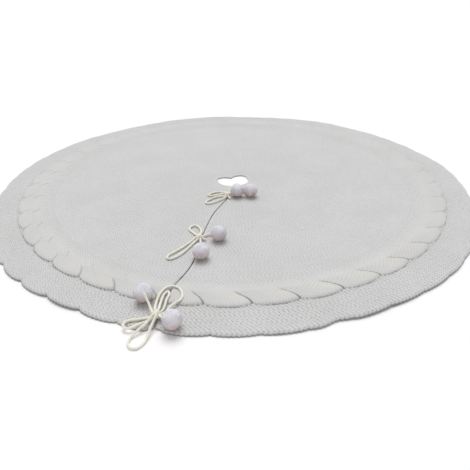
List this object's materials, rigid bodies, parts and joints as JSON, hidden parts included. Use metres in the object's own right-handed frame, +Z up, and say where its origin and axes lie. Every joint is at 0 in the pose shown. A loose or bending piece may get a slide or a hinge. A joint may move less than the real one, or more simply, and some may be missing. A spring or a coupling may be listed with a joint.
{
  "type": "tree skirt",
  "caption": "Round knitted tree skirt with a trunk hole, a radial slit tied by pompom cords, a cable border and a scalloped rim.",
  "frame": {"origin": "centre of the skirt, on the surface it lies on", "axes": "+Z up, out of the surface; -Y from the trunk hole along the slit to the hem; +X to the right when the slit faces the viewer"},
  "size_m": [1.228, 1.2746, 0.0408],
  "materials": {
    "ivory_knit": "coarse purl knit, matt",
    "cream_knit": "smooth stockinette knit, matt",
    "cream_cord": "twisted yarn cord, matt",
    "white_yarn": "dense trimmed yarn, soft and matt"
  },
  "bodies": {
    "skirt": {"knitted_body": "ivory_knit", "neck_binding": "cream_knit", "slit_edging_left": "cream_knit", "slit_edging_right": "cream_knit", "cable_border": "cream_knit", "scalloped_rim": "ivory_knit", "neck_tie_knot": "cream_cord", "neck_tie_root_left": "cream_cord", "neck_tie_root_right": "cream_cord", "neck_tie_loop_1": "cream_cord", "neck_tie_loop_2": "cream_cord", "middle_tie_knot": "cream_cord", "middle_tie_root_left": "cream_cord", "middle_tie_root_right": "cream_cord", "middle_tie_loop_1": "cream_cord", "middle_tie_loop_2": "cream_cord", "hem_tie_knot": "cream_cord", "hem_tie_root_left": "cream_cord", "hem_tie_root_right": "cream_cord", "hem_tie_loop_1": "cream_cord", "hem_tie_loop_2": "cream_cord", "hem_tie_loop_3": "cream_cord", "hem_tie_loop_4": "cream_cord"},
    "neck_tie_left_end": {"neck_tie_tail_left": "cream_cord", "neck_tie_pompom_left": "white_yarn"},
    "neck_tie_right_end": {"neck_tie_tail_right": "cream_cord", "neck_tie_pompom_right": "white_yarn"},
    "middle_tie_left_end": {"middle_tie_tail_left": "cream_cord", "middle_tie_pompom_left": "white_yarn"},
    "middle_tie_right_end": {"middle_tie_tail_right": "cream_cord", "middle_tie_pompom_right": "white_yarn"},
    "hem_tie_left_end": {"hem_tie_tail_left": "cream_cord", "hem_tie_pompom_left": "white_yarn"},
    "hem_tie_right_end": {"hem_tie_tail_right": "cream_cord", "hem_tie_pompom_right": "white_yarn"}
  },
  "joints": [
    {"name": "neck_tie_left_lift", "type": "hinge", "parent": "skirt", "child": "neck_tie_left_end", "pos_m": [0.0115, -0.1155, 0.0143], "axis": [0.3748, -0.9271, 0], "range_deg": [0, 60]},
    {"name": "neck_tie_right_lift", "type": "hinge", "parent": "skirt", "child": "neck_tie_right_end", "pos_m": [0.0115, -0.1155, 0.0143], "axis": [0.2644, -0.9644, 0], "range_deg": [0, 60]},
    {"name": "middle_tie_left_lift", "type": "hinge", "parent": "skirt", "child": "middle_tie_left_end", "pos_m": [-0.001, -0.3315, 0.0143], "axis": [-0.9534, -0.3018, 0], "range_deg": [0, 60]},
    {"name": "middle_tie_right_lift", "type": "hinge", "parent": "skirt", "child": "middle_tie_right_end", "pos_m": [-0.001, -0.3315, 0.0143], "axis": [0.1585, -0.9874, 0], "range_deg": [0, 60]},
    {"name": "hem_tie_left_lift", "type": "hinge", "parent": "skirt", "child": "hem_tie_left_end", "pos_m": [-0.003, -0.591, 0.0163], "axis": [0.725, 0.6887, 0], "range_deg": [0, 60]},
    {"name": "hem_tie_right_lift", "type": "hinge", "parent": "skirt", "child": "hem_tie_right_end", "pos_m": [-0.003, -0.591, 0.0163], "axis": [-0.4305, -0.9026, 0], "range_deg": [0, 60]}
  ]
}
